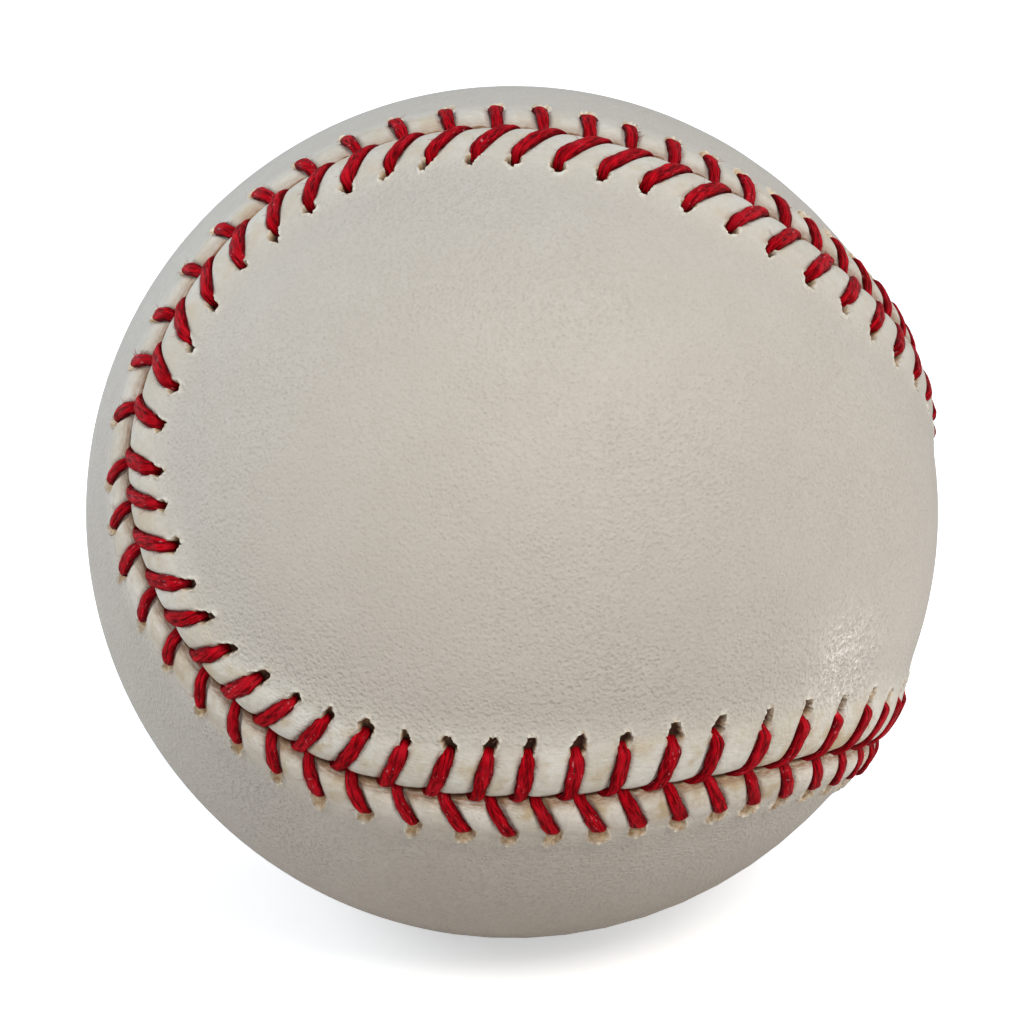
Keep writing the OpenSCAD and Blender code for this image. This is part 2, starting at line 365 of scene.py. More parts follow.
# Colours of the leather, those laid over its field in the order of the layers
FIELD_LIGHT = (0.495, 0.457, 0.408, 1)
FIELD_DARK = (0.474, 0.433, 0.383, 1)
PORE_SHADE = (0.30, 0.235, 0.17, 1)
CREASE_SHADE = (0.33, 0.285, 0.225, 1)
NAP_SHADE = (0.31, 0.265, 0.205, 1)
STAIN_TAN = (0.48, 0.37, 0.23, 1)
SPECK_DARK = (0.05, 0.04, 0.035, 1)
SPOT_TAN = (0.40, 0.29, 0.18, 1)
RUBBED_RED = (0.30, 0.13, 0.105, 1)
RAW_DARK = (0.42, 0.26, 0.13, 1)
RAW_LIGHT = (0.69, 0.54, 0.36, 1)
PALE_DARK = (0.50, 0.42, 0.31, 1)
PALE_LIGHT = (0.80, 0.77, 0.68, 1)
SOIL_BROWN = (0.24, 0.12, 0.058, 1)
# Painted shade, for the dark inside the holes and down the crack
PAINTED_PIT_SHADE = (0.070, 0.031, 0.019, 1)

# Colours of the thread, from the bottom of its fibres to the flecks on it
FIBRE_DARK = (0.12, 0.0005, 0.002, 1)
FIBRE_RED = (0.57, 0.003, 0.012, 1)
STRAND_DARK = (0.16, 0.0008, 0.003, 1)
PATCH_RED = (0.50, 0.010, 0.021, 1)
# Painted shade between the plies and along the thread's edges
PAINTED_GROOVE_SHADE = (0.03, 0.0006, 0.0012, 1)
# Pale flecks of wax, which also stand in as painted sheen on the thread
WAX_FLECK_AND_PAINTED_SHEEN = (0.60, 0.30, 0.33, 1)

# Colours of the pieces under the cover, each light and dark, and of the shadow between yarns
BLACK_RUBBER = ((0.03, 0.03, 0.032, 1), (0.012, 0.012, 0.013, 1))
RED_RUBBER = ((0.50, 0.05, 0.035, 1), (0.34, 0.026, 0.02, 1))
RUBBER_BLOOM = (0.42, 0.40, 0.38, 1)
CORK_DARK = (0.30, 0.155, 0.062, 1)
CORK_LIGHT = (0.62, 0.40, 0.19, 1)
# Painted shade in the gaps between the cork granules
CORK_GAP_SHADE = (0.07, 0.032, 0.014, 1)
GREY_WOOL = ((0.46, 0.455, 0.45, 1), (0.20, 0.20, 0.205, 1), (0.03, 0.03, 0.032, 1))
WHITE_YARN = ((0.86, 0.84, 0.78, 1), (0.62, 0.59, 0.52, 1))
WOOL_SHADOW = (0.2, 0.19, 0.16, 1)
YARN_SHADOW = (0.3, 0.28, 0.24, 1)
CEMENT_THIN = (0.80, 0.72, 0.52, 1)
CEMENT_THICK = (0.62, 0.48, 0.24, 1)
CEMENT_SHADOW = (0.45, 0.33, 0.16, 1)
# Grains of cork and patches of winding, in a metre
CORK_CELLS = 620.0
YARN_PATCHES = 85.0


# Finishes
def floor_paint():
    """Matt white, overexposed for the camera as in a catalogue picture."""
    made, tree, shader = new_material("floor_paint")
    coords = object_coords(tree)
    paint = mottled(tree, coords, 3.0, (0.68, 0.64, 0.615, 1), (0.66, 0.62, 0.595, 1))["Color"]
    seen = add_node(tree, "ShaderNodeLightPath", {})["Is Camera Ray"]
    link_or_set(tree, shader, {
        "Base Color": mix_colour(tree, seen, paint, (0.95, 0.95, 0.95, 1)),
        "Emission Color": (1, 1, 1, 1),
        "Emission Strength": times(tree, seen, 0.50),
        "Roughness": 0.9,
        "Specular IOR Level": 0.1,
    })
    return made


def cover_leather(name, seed, drawn_light, drawn_dark):
    """Undyed alum-tanned leather: creamy white, pored, paler where it is drawn tight beside the
    seam, tan where it was cut or pierced, with a little red rubbed off the thread, and painted
    shade in the holes and down the crack."""
    made, tree, shader = new_material(name)
    coords = shifted(tree, object_coords(tree), (seed, 0, 0))
    raw, pale, pit_shade, welt, dye, soil = [attribute(tree, mask) for mask in LEATHER_MASKS]
    sewn = attribute(tree, "sewn", "Vector")

    field = mottled(tree, coords, 30.0, FIELD_LIGHT, FIELD_DARK)["Color"]
    drawn = mottled(tree, coords, 190.0, drawn_light, drawn_dark)["Color"]
    up = add_node(tree, "ShaderNodeSeparateXYZ", {"Vector": coords})["Z"]
    drawn_share = times(tree, welt, remap(tree, up, -0.008, 0.020, 1.0, 0.55))

    grain = use_group(tree, PORES, {"Vector": coords, "Pore Scale": 2900.0, "Crease Scale": 2600.0})
    patchy = remap(tree, noise(tree, coords, 60.0), 0.35, 0.7, 0.6, 1.0)
    open_field = times(tree, patchy, remap(tree, welt, 0.0, 1.0, 1.0, 0.3))
    grain_share = times(tree, open_field, 0.13)
    nap = noise(tree, coords, 5200.0)
    nap_share = times(tree, remap(tree, nap, 0.68, 0.32), times(tree, open_field, 0.14))

    stain_noise = noise(tree, coords, 330.0, 3.0, 0.6)
    stained = times(tree, remap(tree, welt, 0.3, 1.0), remap(tree, up, 0.004, -0.016, 0.45, 1.0))
    stain = times(tree, remap(tree, stain_noise, 0.47, 0.70), stained)
    specks = voronoi(tree, coords, 130.0)
    rare = colour_parts(tree, specks["Color"])
    speck = remap(tree, specks["Distance"], 0.022, 0.012)
    speck = times(tree, speck, math_node(tree, "LESS_THAN", rare["Red"], 0.12))
    tan_spot = remap(tree, specks["Distance"], 0.12, 0.02, 0.0, 0.4)
    tan_spot = times(tree, tan_spot, math_node(tree, "GREATER_THAN", rare["Green"], 0.93))

    fibre = noise(tree, stretched(tree, sewn, (1.2, 5.5, 1.0)), 1.0, 4.0, 0.65)
    torn_noise = noise(tree, coords, 1500.0, 3.0, 0.6)
    ingrained = math_node(tree, "MAXIMUM", remap(tree, fibre, 0.30, 0.62, 0.30, 0.95), raw)
    colour = layered(tree, field, (
        (drawn_share, drawn),
        (times(tree, grain["Pores"], grain_share), PORE_SHADE),
        (times(tree, grain["Creases"], grain_share), CREASE_SHADE),
        (nap_share, NAP_SHADE),
        (stain, STAIN_TAN),
        (times(tree, speck, 0.85), SPECK_DARK),
        (tan_spot, SPOT_TAN),
        (times(tree, dye, remap(tree, fibre, 0.3, 0.7, 0.1, 0.5)), RUBBED_RED),
        (raw, mix_colour(tree, remap(tree, torn_noise, 0.35, 0.65), RAW_DARK, RAW_LIGHT)),
        (pale, mix_colour(tree, remap(tree, torn_noise, 0.3, 0.6), PALE_DARK, PALE_LIGHT)),
        (times(tree, soil, ingrained), SOIL_BROWN),
        # painted shade in the holes and down the crack
        (pit_shade, PAINTED_PIT_SHADE),
    ))

    rough = remap(tree, noise(tree, coords, 900.0), 0.3, 0.7, 0.48, 0.60)
    rough = math_node(tree, "MULTIPLY_ADD", raw, 0.35, rough, clamp=True)
    apart = {0: coords, 1: WORN_SPOT}
    from_spot = add_node(tree, "ShaderNodeVectorMath", apart, operation="DISTANCE")["Value"]
    worn = remap(tree, from_spot, 0.0010, 0.0080, 0.34, 1.0)

    coarser = times(tree, open_field, remap(tree, up, 0.006, -0.014, 1.0, 2.1))
    grain_height = times(tree, times_plus(tree, nap, 0.35, grain["Height"]), coarser)
    height = times_plus(tree, noise(tree, coords, 620.0), 0.3, times(tree, grain_height, 1.5))
    sound = math_node(tree, "SUBTRACT", 1.0, raw)
    line_share = times(tree, remap(tree, welt, 0.2, 1.0, 0.0, 1.9), sound)
    height = math_node(tree, "ADD", height, times(tree, fibre, line_share))
    torn_share = times(tree, math_node(tree, "MAXIMUM", raw, pale), 2.2)
    height = math_node(tree, "ADD", height, times(tree, torn_noise, torn_share))
    link_or_set(tree, shader, {
        "Base Color": colour,
        "Roughness": times(tree, rough, worn),
        "Specular IOR Level": 0.26,
        "IOR": 1.45,
        "Normal": bump(tree, height, 0.8, 0.00007),
    })
    return made


def waxed_thread(name, seed):
    """Plied cotton, dyed red and waxed: long fibres, painted shade between the plies and along
    both edges, a few pale flecks, partly wax and partly painted sheen.
    """
    made, tree, shader = new_material(name)
    lay = shifted(tree, attribute(tree, "lay", "Vector"), (seed, seed, 0))
    coords = object_coords(tree)
    fibre = noise(tree, stretched(tree, lay, (7.0, 0.9, 1.0)), 1.0, 4.0, 0.62)
    strand = noise(tree, stretched(tree, lay, (2.4, 0.4, 1.0)), 1.0)
    patches = noise(tree, coords, 430.0)
    # Pale flecks: waxy specks, and partly painted sheen
    fleck_and_sheen_noise = noise(tree, stretched(tree, lay, (5.0, 2.2, 1.0)), 1.0)
    fleck_and_sheen_patch = remap(tree, noise(tree, coords, 420.0, 1.0), 0.52, 0.66)
    fleck_and_sheen = times(tree, remap(tree, fleck_and_sheen_noise, 0.62, 0.72), fleck_and_sheen_patch)
    colour = mix_colour(tree, remap(tree, fibre, 0.34, 0.66), FIBRE_DARK, FIBRE_RED)
    colour = layered(tree, colour, (
        (remap(tree, strand, 0.35, 0.65, 0.0, 0.40), STRAND_DARK),
        (remap(tree, patches, 0.45, 0.70, 0.0, 0.45), PATCH_RED),
        # painted shade between the plies and along the edges
        (times(tree, attribute(tree, "ply_and_edge_shade"), 0.85), PAINTED_GROOVE_SHADE),
        # wax flecks and painted sheen
        (times(tree, fleck_and_sheen, 0.55), WAX_FLECK_AND_PAINTED_SHEEN),
    ))
    link_or_set(tree, shader, {
        "Base Color": colour,
        "Roughness": remap(tree, strand, 0.3, 0.7, 0.34, 0.52),
        "Specular IOR Level": 0.025,
        "Normal": bump(tree, times_plus(tree, strand, 0.9, fibre), 0.9, 0.00012),
    })
    return made


def frayed_fibre(name, light, dark):
    made, tree, shader = new_material(name)
    colour = mottled(tree, object_coords(tree), 900.0, light, dark)["Color"]
    link_or_set(tree, shader, {"Base Color": colour, "Roughness": 0.7})
    return made


def ground_cork():
    """Bonded cork: light and dark granules, with painted shade in the small gaps between them."""
    made, tree, shader = new_material("ground_cork")
    coords = object_coords(tree)
    tone = colour_parts(tree, voronoi(tree, coords, CORK_CELLS)["Color"])["Red"]
    edge = voronoi(tree, coords, CORK_CELLS, "DISTANCE_TO_EDGE")["Distance"]
    gaps = remap(tree, edge, 0.06, 0.0)
    granules = mix_colour(tree, tone, CORK_DARK, CORK_LIGHT)
    pitted = noise(tree, coords, 2200.0, 3.0, 0.6)
    link_or_set(tree, shader, {
        # painted shade in the gaps
        "Base Color": mix_colour(tree, times(tree, gaps, 0.7), granules, CORK_GAP_SHADE),
        "Roughness": 0.85,
        "Normal": bump(tree, times_plus(tree, gaps, -1.0, pitted), 0.7, 0.0002),
    })
    return made


def moulded_rubber(name, light, dark, gloss):
    """Matt rubber with a dusty bloom on it."""
    made, tree, shader = new_material(name)
    coords = object_coords(tree)
    rubber = mottled(tree, coords, 140.0, light, dark)
    bloom = remap(tree, noise(tree, coords, 900.0, 3.0, 0.65), 0.58, 0.75, 0.0, 0.35)
    link_or_set(tree, shader, {
        "Base Color": mix_colour(tree, bloom, rubber["Color"], RUBBER_BLOOM),
        "Roughness": remap(tree, rubber["Mask"], 0.0, 1.0, gloss, gloss + 0.15),
        "Normal": bump(tree, noise(tree, coords, 2400.0), 0.4, 0.00008),
    })
    return made


def wound_yarn(name, yarns, light, dark, shadow, depth):
    """Yarn windings, crossing in patches, with loose fibres."""
    made, tree, shader = new_material(name)
    values = {"Vector": object_coords(tree), "Yarns": yarns, "Patches": YARN_PATCHES}
    yarn = use_group(tree, YARN, values)
    colour = mix_colour(tree, remap(tree, yarn["Fibre"], 0.3, 0.7), dark, light)
    colour = layered(tree, colour, (
        (times(tree, yarn["Patch"], 0.25), dark),
        (remap(tree, yarn["Height"], 0.34, 0.1, 0.0, 0.85), shadow),
    ))
    link_or_set(tree, shader, {
        "Base Color": colour,
        "Roughness": 0.9,
        "Sheen Weight": 0.25,
        "Normal": bump(tree, yarn["Height"], 1.0, depth),
    })
    return made


def brushed_cement():
    """Rubber cement, brushed on thin over the yarn: glossy, amber where it lies thick."""
    made, tree, shader = new_material("brushed_cement")
    coords = object_coords(tree)
    yarn = use_group(tree, YARN, {"Vector": coords, "Yarns": 900.0, "Patches": YARN_PATCHES})
    runs = noise(tree, stretched(tree, coords, (260, 260, 70)), 1.0, 3.0, 0.6)
    colour = mix_colour(tree, remap(tree, runs, 0.35, 0.7), CEMENT_THIN, CEMENT_THICK)
    hollow = remap(tree, yarn["Height"], 0.5, 0.2, 0.0, 0.3)
    link_or_set(tree, shader, {
        "Base Color": mix_colour(tree, hollow, colour, CEMENT_SHADOW),
        "Roughness": remap(tree, runs, 0.35, 0.7, 0.38, 0.22),
        "Normal": bump(tree, times_plus(tree, yarn["Height"], 0.4, runs), 0.6, 0.0002),
    })
    return made


def dress_inner_pieces():
    """The pieces under the cover keep their solids and get the finish of what they are made of."""
    black = moulded_rubber("black_rubber", *BLACK_RUBBER, 0.45)
    red = moulded_rubber("red_rubber", *RED_RUBBER, 0.5)
    finishes = {
        "cork_core": ground_cork(),
        "black_shell_upper": black,
        "black_shell_lower": black,
        "washer_upper": red,
        "washer_lower": red,
        "red_rubber_layer": red,
        "grey_wool_inner": wound_yarn("grey_wool_four_ply", 520.0, *GREY_WOOL, 0.0006),
        "white_wool": wound_yarn("white_wool_three_ply", 640.0, *WHITE_YARN, WOOL_SHADOW, 0.0005),
        "grey_wool_outer": wound_yarn("grey_wool_three_ply", 640.0, *GREY_WOOL, 0.0005),
        "finishing_yarn": wound_yarn("fine_white_yarn", 1300.0, *WHITE_YARN, YARN_SHADOW, 0.0002),
        "cement_coat": brushed_cement(),
    }
    for name, finish in finishes.items():
        piece = frame["nodes"][name]
        piece.data.materials.clear()
        piece.data.materials.append(finish)


# The seam as numbers
TURN_STEP = 0.25
TURNS = np.arange(0, 720 + TURN_STEP, TURN_STEP)


def seam_point(turn):
    latitude = np.radians(90 - WAIST_ANGLE) * np.cos(np.radians(turn))
    azimuth = np.radians(turn / 2 + WAIST_ANGLE * np.sin(np.radians(2 * turn)))
    across = np.cos(latitude)
    return np.stack([np.sin(latitude), across * np.sin(azimuth), across * np.cos(azimuth)], -1)


def unit(v):
    return v / np.linalg.norm(v, axis=-1, keepdims=True)


def running_length(points):
    """How far along a line each of its points lies."""
    return np.concatenate([[0], np.cumsum(np.linalg.norm(np.diff(points, axis=0), axis=1))])


SEAM_POINTS = seam_point(TURNS)
SEAM_LENGTHS = running_length(SEAM_POINTS)
SEAM_LEN = SEAM_LENGTHS[-1]


def seam_run(share):
    """Millimetres along the seam to a share of it."""
    return share * SEAM_LEN * BALL_R


def seam_frame(share):
    """Directions at a share of the seam: out, along, and across from panel A to panel B."""
    turn = np.interp(np.mod(share, 1) * SEAM_LEN, SEAM_LENGTHS, TURNS)
    out = seam_point(turn)
    along = unit(seam_point(turn + TURN_STEP) - seam_point(turn - TURN_STEP))
    return out, along, np.cross(out, along)


# Where the hand sewing strays: stitch, how many stitches it lasts, and by how much, in
# millimetres for the crack and the holes and in pitches for the places and the lean
CRACK_STRAYS = (
    (65.0, 6.0, 0.45), (78.0, 2.6, -0.85), (81.6, 2.2, 0.65), (84.5, 2.5, -0.30),
    (95.0, 4.0, -0.55),
)
HOLE_STRAYS = {
    SIDE_A: (
        (76.0, 5.0, -0.40), (74.8, 1.9, -0.55), (75.3, 1.5, -0.55), (80.0, 1.1, -0.50),
        (84.0, 3.5, -0.35), (89.5, 2.5, -0.25), (95.0, 4.0, 0.20),
    ),
    SIDE_B: ((84.5, 3.5, -0.70), (65.0, 5.0, 0.42)),
}
PLACE_STRAYS = {
    SIDE_A: ((60.0, 4.0, -0.18), (68.0, 3.0, -0.18), (76.0, 1.2, 0.13), (80.3, 0.9, -0.30)),
    SIDE_B: ((61.0, 3.0, 0.09), (68.0, 3.0, -0.18), (77.8, 1.2, 0.14), (80.0, 0.8, -0.12)),
}
LEAN_STRAYS = {
    SIDE_A: ((60.0, 4.0, -0.18), (65.0, 4.0, -0.13), (67.0, 0.8, -0.20), (78.0, 3.5, 0.19)),
    SIDE_B: ((65.0, 4.0, -0.08),),
}
WEAVE = 0.08
WEAVE_REACH = 1.6
# How much shorter of its hole a leg ends, how much further its tail runs along the crack, in
# pitches, and how much narrower panel B's holes and leg ends are, as a share
END_STRAYS = ((63.0, 6.0, 0.32),)
TAIL_STRAYS = ((60.5, 4.0, 0.28), (91.0, 4.0, 0.05))
NARROW_STRAYS = ((78.5, 9.0, 0.45), (93.5, 5.0, 0.15))
BROAD_STRAYS = ((93.5, 6.0, 0.24),)
# On which side the holes of panel A have a torn flap, and where the crack is clean, as a share
FLAP_STRAYS = ((58.5, 4.5, -1.0), (71.8, 3.6, 1.0))
CLEAN_STRAYS = ((90.0, 10.0, 0.80),)


def strays(k, places):
    """How far the sewing strays at stitch k: a soft bump at each of the places."""
    total = 0 * k
    for at, lasting, amount in places:
        away = np.mod(k - at + STITCHES / 2, STITCHES) - STITCHES / 2
        total = total + amount * np.exp(-((away / lasting) ** 2))
    return total


def stitch_number(share):
    """The stitch that lies at a share of the seam, as a number with a fraction."""
    crowd = CROWD_SHARE * np.sin(8 * np.pi * share - math.radians(CROWD_ANGLE))
    return share * STITCHES - FIRST_SHARE - crowd


def seam_dist(share, dist):
    """Distance from the true seam line of a place at dist from the sewn one: the crack strays a
    little, and between the stitches panel A bulges over it."""
    number = stitch_number(share)
    weave = WEAVE * np.cos(2 * np.pi * (number - CROSS_SHARE[SIDE_A]))
    return dist + strays(number, CRACK_STRAYS) + weave * np.exp(-((dist / WEAVE_REACH) ** 2))


def surface_way(share, dist):
    """Direction from the centre to a place at dist millimetres on panel A's side of the seam."""
    out, _, across = seam_frame(share)
    a = (seam_dist(share, dist) / BALL_R)[..., None]
    return np.cos(a) * out - np.sin(a) * across


def even_at(k):
    return (k + FIRST_SHARE) / STITCHES


def stitch_at(k):
    even = even_at(k)
    crowd = CROWD_SHARE * np.sin(8 * np.pi * even - math.radians(CROWD_ANGLE))
    return even + crowd / STITCHES


def lean(k, side):
    sway = SWAY_SHARE * np.sin(4 * np.pi * even_at(k) + math.radians(SWAY_ANGLE))
    return LEAN_SHARE[side] - side * sway + strays(k, LEAN_STRAYS[side])


def roll_matrix():
    """The whole sewn cover lies rolled about X, then Y, then Z."""
    turned = np.eye(3)
    for axis, angle in enumerate(ROLL_ANGLES):
        c = math.cos(math.radians(angle))
        s = math.sin(math.radians(angle))
        i, j = [(1, 2), (2, 0), (0, 1)][axis]
        step = np.eye(3)
        step[i, i] = step[j, j] = c
        step[i, j] = -s
        step[j, i] = s
        turned = step @ turned
    return turned


ROLL = roll_matrix()


def as_sewn(points):
    """Points of the sewn cover, in millimetres, in the frame of the part, in metres."""
    return points @ ROLL.T * MM


# How each stitch differs from its neighbours
draws = np.random.default_rng(41)


def spread(width, low=-1.0):
    return {side: draws.uniform(low, 1.0, STITCHES) * width for side in (SIDE_A, SIDE_B)}


HOLE_SHIFT = spread(0.05)
HOLE_DEEPER = spread(0.14)
CROSS_SHIFT = spread(0.04)
HOLE_WIDE = spread(0.20)
HOLE_LONG = spread(0.18)
HOLE_PHASE = spread(math.pi)
HOLE_SKEW = spread(0.35)
PILLOW_UP = spread(0.07)
THREAD_WIDE = spread(0.09)
THREAD_UP = spread(0.05)
THREAD_PHASE = spread(math.pi)


HOLE_AT = {
    side: HOLE_IN[side] + HOLE_DEEPER[side] + strays(np.arange(STITCHES), HOLE_STRAYS[side])
    for side in (SIDE_A, SIDE_B)
}


def smooth(x, low, high):
    t = np.clip((x - low) / (high - low), 0, 1)
    return t * t * (3 - 2 * t)


def hole_between(k, offset, side):
    """Distance of the holes from the seam, passing evenly from one stitch to the next."""
    own = HOLE_AT[side][k]
    other = HOLE_AT[side][(k + np.sign(offset).astype(int)) % STITCHES]
    return own + (other - own) * 0.5 * smooth(np.abs(offset), 0.2, 0.5)


def through(x, places, values):
    """A smooth curve through points: cubic pieces with the slopes of their neighbours."""
    places = np.asarray(places, float)
    values = np.asarray(values, float)
    slopes = np.gradient(values, places)
    i = np.clip(np.searchsorted(places, x) - 1, 0, len(places) - 2)
    width = places[i + 1] - places[i]
    t = np.clip((x - places[i]) / width, 0, 1)
    a = (2 * t**3 - 3 * t**2 + 1) * values[i] + (t**3 - 2 * t**2 + t) * width * slopes[i]
    return a + (-2 * t**3 + 3 * t**2) * values[i + 1] + (t**3 - t**2) * width * slopes[i + 1]


def stitch_line(k, offset, dist, side):
    """Share of the seam at offset pitches from stitch k's line, at dist from the seam."""
    near = np.minimum(1, dist / HOLE_IN[side])
    here = k + offset
    aside = CROSS_SHARE[side] - lean(here, side) * near + strays(here, PLACE_STRAYS[side])
    place = stitch_at(here) + aside / STITCHES
    own = CROSS_SHIFT[side][k % STITCHES] * (1 - near) + HOLE_SHIFT[side][k % STITCHES] * near
    fade = 1 - smooth(np.abs(offset), 0.1, 0.5)
    return place + own * fade / STITCHES


# Leather panels
# Profiles of the leather from the seam to the holes and beyond them, between stitches and under
# them, then the shape of the holes in each panel
PILLOW_RUN = (0.06, 0.13, 0.24, 0.42, 0.62, 0.82, 1.0)
PILLOW_HEIGHT = (0.24, 0.48, 0.67, 0.78, 0.76, 0.64, 0.46)
BED_HEIGHT = (0.02, 0.10, 0.19, 0.29, 0.32, 0.28, 0.22)
HOLE_MIDDLE = {SIDE_A: 0.27, SIDE_B: 0.38}
HOLE_HALF_WIDE = {SIDE_A: 0.51, SIDE_B: 0.72}
HOLE_HALF_LONG = {SIDE_A: 0.92, SIDE_B: 0.98}
HOLE_DEPTH = {SIDE_A: 0.95, SIDE_B: 0.14}
NEAR_SIDE_DEPTH = 0.75
RIM_RAGGED = {SIDE_A: 1.0, SIDE_B: 0.6}
RING_OUT = {SIDE_A: 0.12, SIDE_B: 0.09}
FAR_LIP = {SIDE_A: 0.10, SIDE_B: 0.24}
GUTTER_DEPTH = {SIDE_A: 0.04, SIDE_B: 0.09}
RAW_REACH = {SIDE_A: 0.08, SIDE_B: 0.17}
RING_PALE = {SIDE_A: 0.65, SIDE_B: 0.55}
BEYOND_RUN = (0.0, 0.45, 0.9, 1.6, 2.4, 3.1)
BEYOND_PILLOW = (0.46, 0.36, 0.28, 0.16, 0.06, 0.0)
BEYOND_BED = (0.22, 0.24, 0.23, 0.15, 0.06, 0.0)


def hole_rim(k, past, aside, side):
    """How far a place lies outside the torn rim of its hole, less than 0 inside it, and how far
    aside of the line on which the hole leans."""
    beyond = past - HOLE_MIDDLE[side]
    angle = np.arctan2(beyond, aside)
    phase = HOLE_PHASE[side][k]
    ragged = 0.06 * np.sin(3 * angle + phase) + 0.035 * np.sin(7 * angle + 2 * phase)
    ragged = (ragged + 0.02 * np.sin(13 * angle + phase)) * RIM_RAGGED[side]
    half_wide = HOLE_HALF_WIDE[side] * (1 + HOLE_WIDE[side][k])
    if side == SIDE_B:
        half_wide = half_wide * (1 - strays(k, NARROW_STRAYS))
    half_long = HOLE_HALF_LONG[side] * (1 + HOLE_LONG[side][k])
    leaned = aside - HOLE_SKEW[side][k] * beyond
    rim = np.sqrt((leaned / half_wide) ** 2 + (beyond / half_long) ** 2)
    return (rim - 1) * 0.5 + ragged, leaned


def leather_height(k, dist, aside, hole, side):
    """Height of the leather over the round of the ball, in millimetres, and its masks. aside is
    the distance from the stitch's own line, and positive forward."""
    run = dist / hole
    past = dist - hole

    def profile(inside, beyond):
        before = through(run, PILLOW_RUN, inside)
        return np.where(past <= 0, before, through(past, BEYOND_RUN, beyond))

    pillow = profile(PILLOW_HEIGHT, BEYOND_PILLOW)
    bed = profile(BED_HEIGHT, BEYOND_BED)
    ahead = np.where(aside > 0, k, (k - 1) % STITCHES)
    swell = 1 + PILLOW_UP[side][ahead] / 0.76
    if side == SIDE_B:
        swell = swell * (1 - 0.22 * smooth(dist, 1.3, 0.3))
    wide = np.abs(aside)
    rise = smooth(wide, 0.32, 1.0)
    dome = 1 - 0.20 * np.clip((1.9 - wide) / 1.4, 0, 1) ** 2
    height = bed + (pillow * swell - bed) * rise * dome
    gutter = np.exp(-(((past - 0.3) / 0.4) ** 2)) * smooth(wide, 0.4, 0.9)
    height = height - gutter * GUTTER_DEPTH[side]
    rim, leaned = hole_rim(k, past, aside, side)
    sunk = smooth(rim, 0.03, -0.09)
    far = smooth(past, -0.25, 0.4)
    ring = np.exp(-(((rim - RING_OUT[side]) / 0.08) ** 2))
    lip = ring * (0.04 + FAR_LIP[side] * far)
    deep = HOLE_DEPTH[side]
    # Painted shade deep in the hole: less under a torn flap on panel A, and on panel B only by the
    # thread's end
    pit_shade = smooth(sunk, 0.20, 0.65)
    if side == SIDE_A:
        turned = strays(k, FLAP_STRAYS)
        flap = np.abs(turned) * smooth(leaned * np.sign(turned), -0.05, 0.22)
        pit_shade = pit_shade * (1 - 0.90 * (flap * smooth(past, 0.1, 0.6)))
        soil = np.maximum(smooth(dist, 0.55, 0.3), 0.9 * smooth(rim, 0.02, -0.08))
    else:
        deep = deep + NEAR_SIDE_DEPTH * smooth(past, 0.95, -0.15)
        pit_shade = pit_shade * smooth(past, 0.25, -0.15)
        soil = smooth(dist, 1.25, 0.40) * (1 - strays(k, CLEAN_STRAYS))
    lowest = WELT_LOW_R + 0.08 - BALL_R
    height = np.maximum(height + lip * (1 - sunk) - deep * sunk, lowest)
    dye = np.exp(-(((wide - 0.66) / 0.15) ** 2)) * smooth(past, 0.1, -0.5) * smooth(run, 0.02, 0.15)
    masks = {
        "raw": smooth(rim, RAW_REACH[side], 0.02) * (0.5 + 0.5 * smooth(past, -0.6, 0.0)),
        "pale": ring * far * RING_PALE[side],
        "pit_shade": pit_shade,
        "welt": smooth(past, 3.2, -2.2),
        "dye": np.maximum(dye, 0.8 * smooth(dist, 0.75, 0.25)),
        "soil": soil,
    }
    return height, masks


# Angles, in degrees, up to which two faces are shaded as one surface
PANEL_SMOOTH = 75
THREAD_SMOOTH = 80
POINT_SMOOTH = 60

COLUMN_OFFSETS = np.concatenate([
    np.linspace(-0.5, -0.27, 4, endpoint=False),
    np.linspace(-0.27, 0.27, 17),
    np.linspace(0.27, 0.5, 5)[1:-1],
])
COLUMNS = len(COLUMN_OFFSETS)
FILL_SHARES = np.linspace(0, 1, 11)[1:-1]
FAN_STITCHES = 14
EDGE_DIST = 0.30
# Rows down the cut edge: distance from the seam, and drop from the leather's top in the first row
EDGE_ROWS = ((0.05, None), (0.12, 0.45), (0.20, 0.17), (0.25, 0.06))
EDGE_MASKS = {"welt": 1.0, "dye": 0.5, "soil": 1.0}
FIELD_STEPS = (4.0, 4.9, 6.0)
UNDER_DISTS = (0.9, 2.2)
FIELD_RUN = 20


def band_distances(side):
    """Distances from the seam of the fine rows: close together at the edge and round the holes."""
    hole = HOLE_IN[side]
    near = [EDGE_DIST, 0.40, 0.54, 0.74, 1.0, 1.35]
    steps = int(round((hole - 2.1) / 0.42)) + 1
    before = np.linspace(near[-1], hole - 0.75, steps)[1:-1]
    round_hole = np.linspace(hole - 0.75, hole + 1.1, 15)
    after = hole + np.array([1.4, 1.8, 2.4, 3.1])
    return np.concatenate([near, before, round_hole, after])


def middle_station(number, side):
    """Where each column of a row of that number meets the middle line, counted from the waist."""
    m = np.mod(np.arange(number) - (0 if side > 0 else number // 4), number)
    half = number // 2
    station = np.where(m <= half, np.minimum(m, half - m), -np.minimum(m - half, number - m))
    reach = FAN_STITCHES * number // STITCHES
    return np.clip(station, -reach, reach), reach


def middle_line(station, reach, side):
    """The line through the panel's waist between the centres of its broad ends."""
    a = np.radians(90) * station / reach
    if side > 0:
        return np.stack([np.cos(a), np.sin(a), 0 * a], -1)
    return np.stack([-np.cos(a), 0 * a, -np.sin(a)], -1)


def same_count_band(a, b, count):
    """Quads between two closed rows with the same number of points."""
    i = np.arange(count)
    j = (i + 1) % count
    return np.stack([a + i, a + j, b + j, b + i], 1)


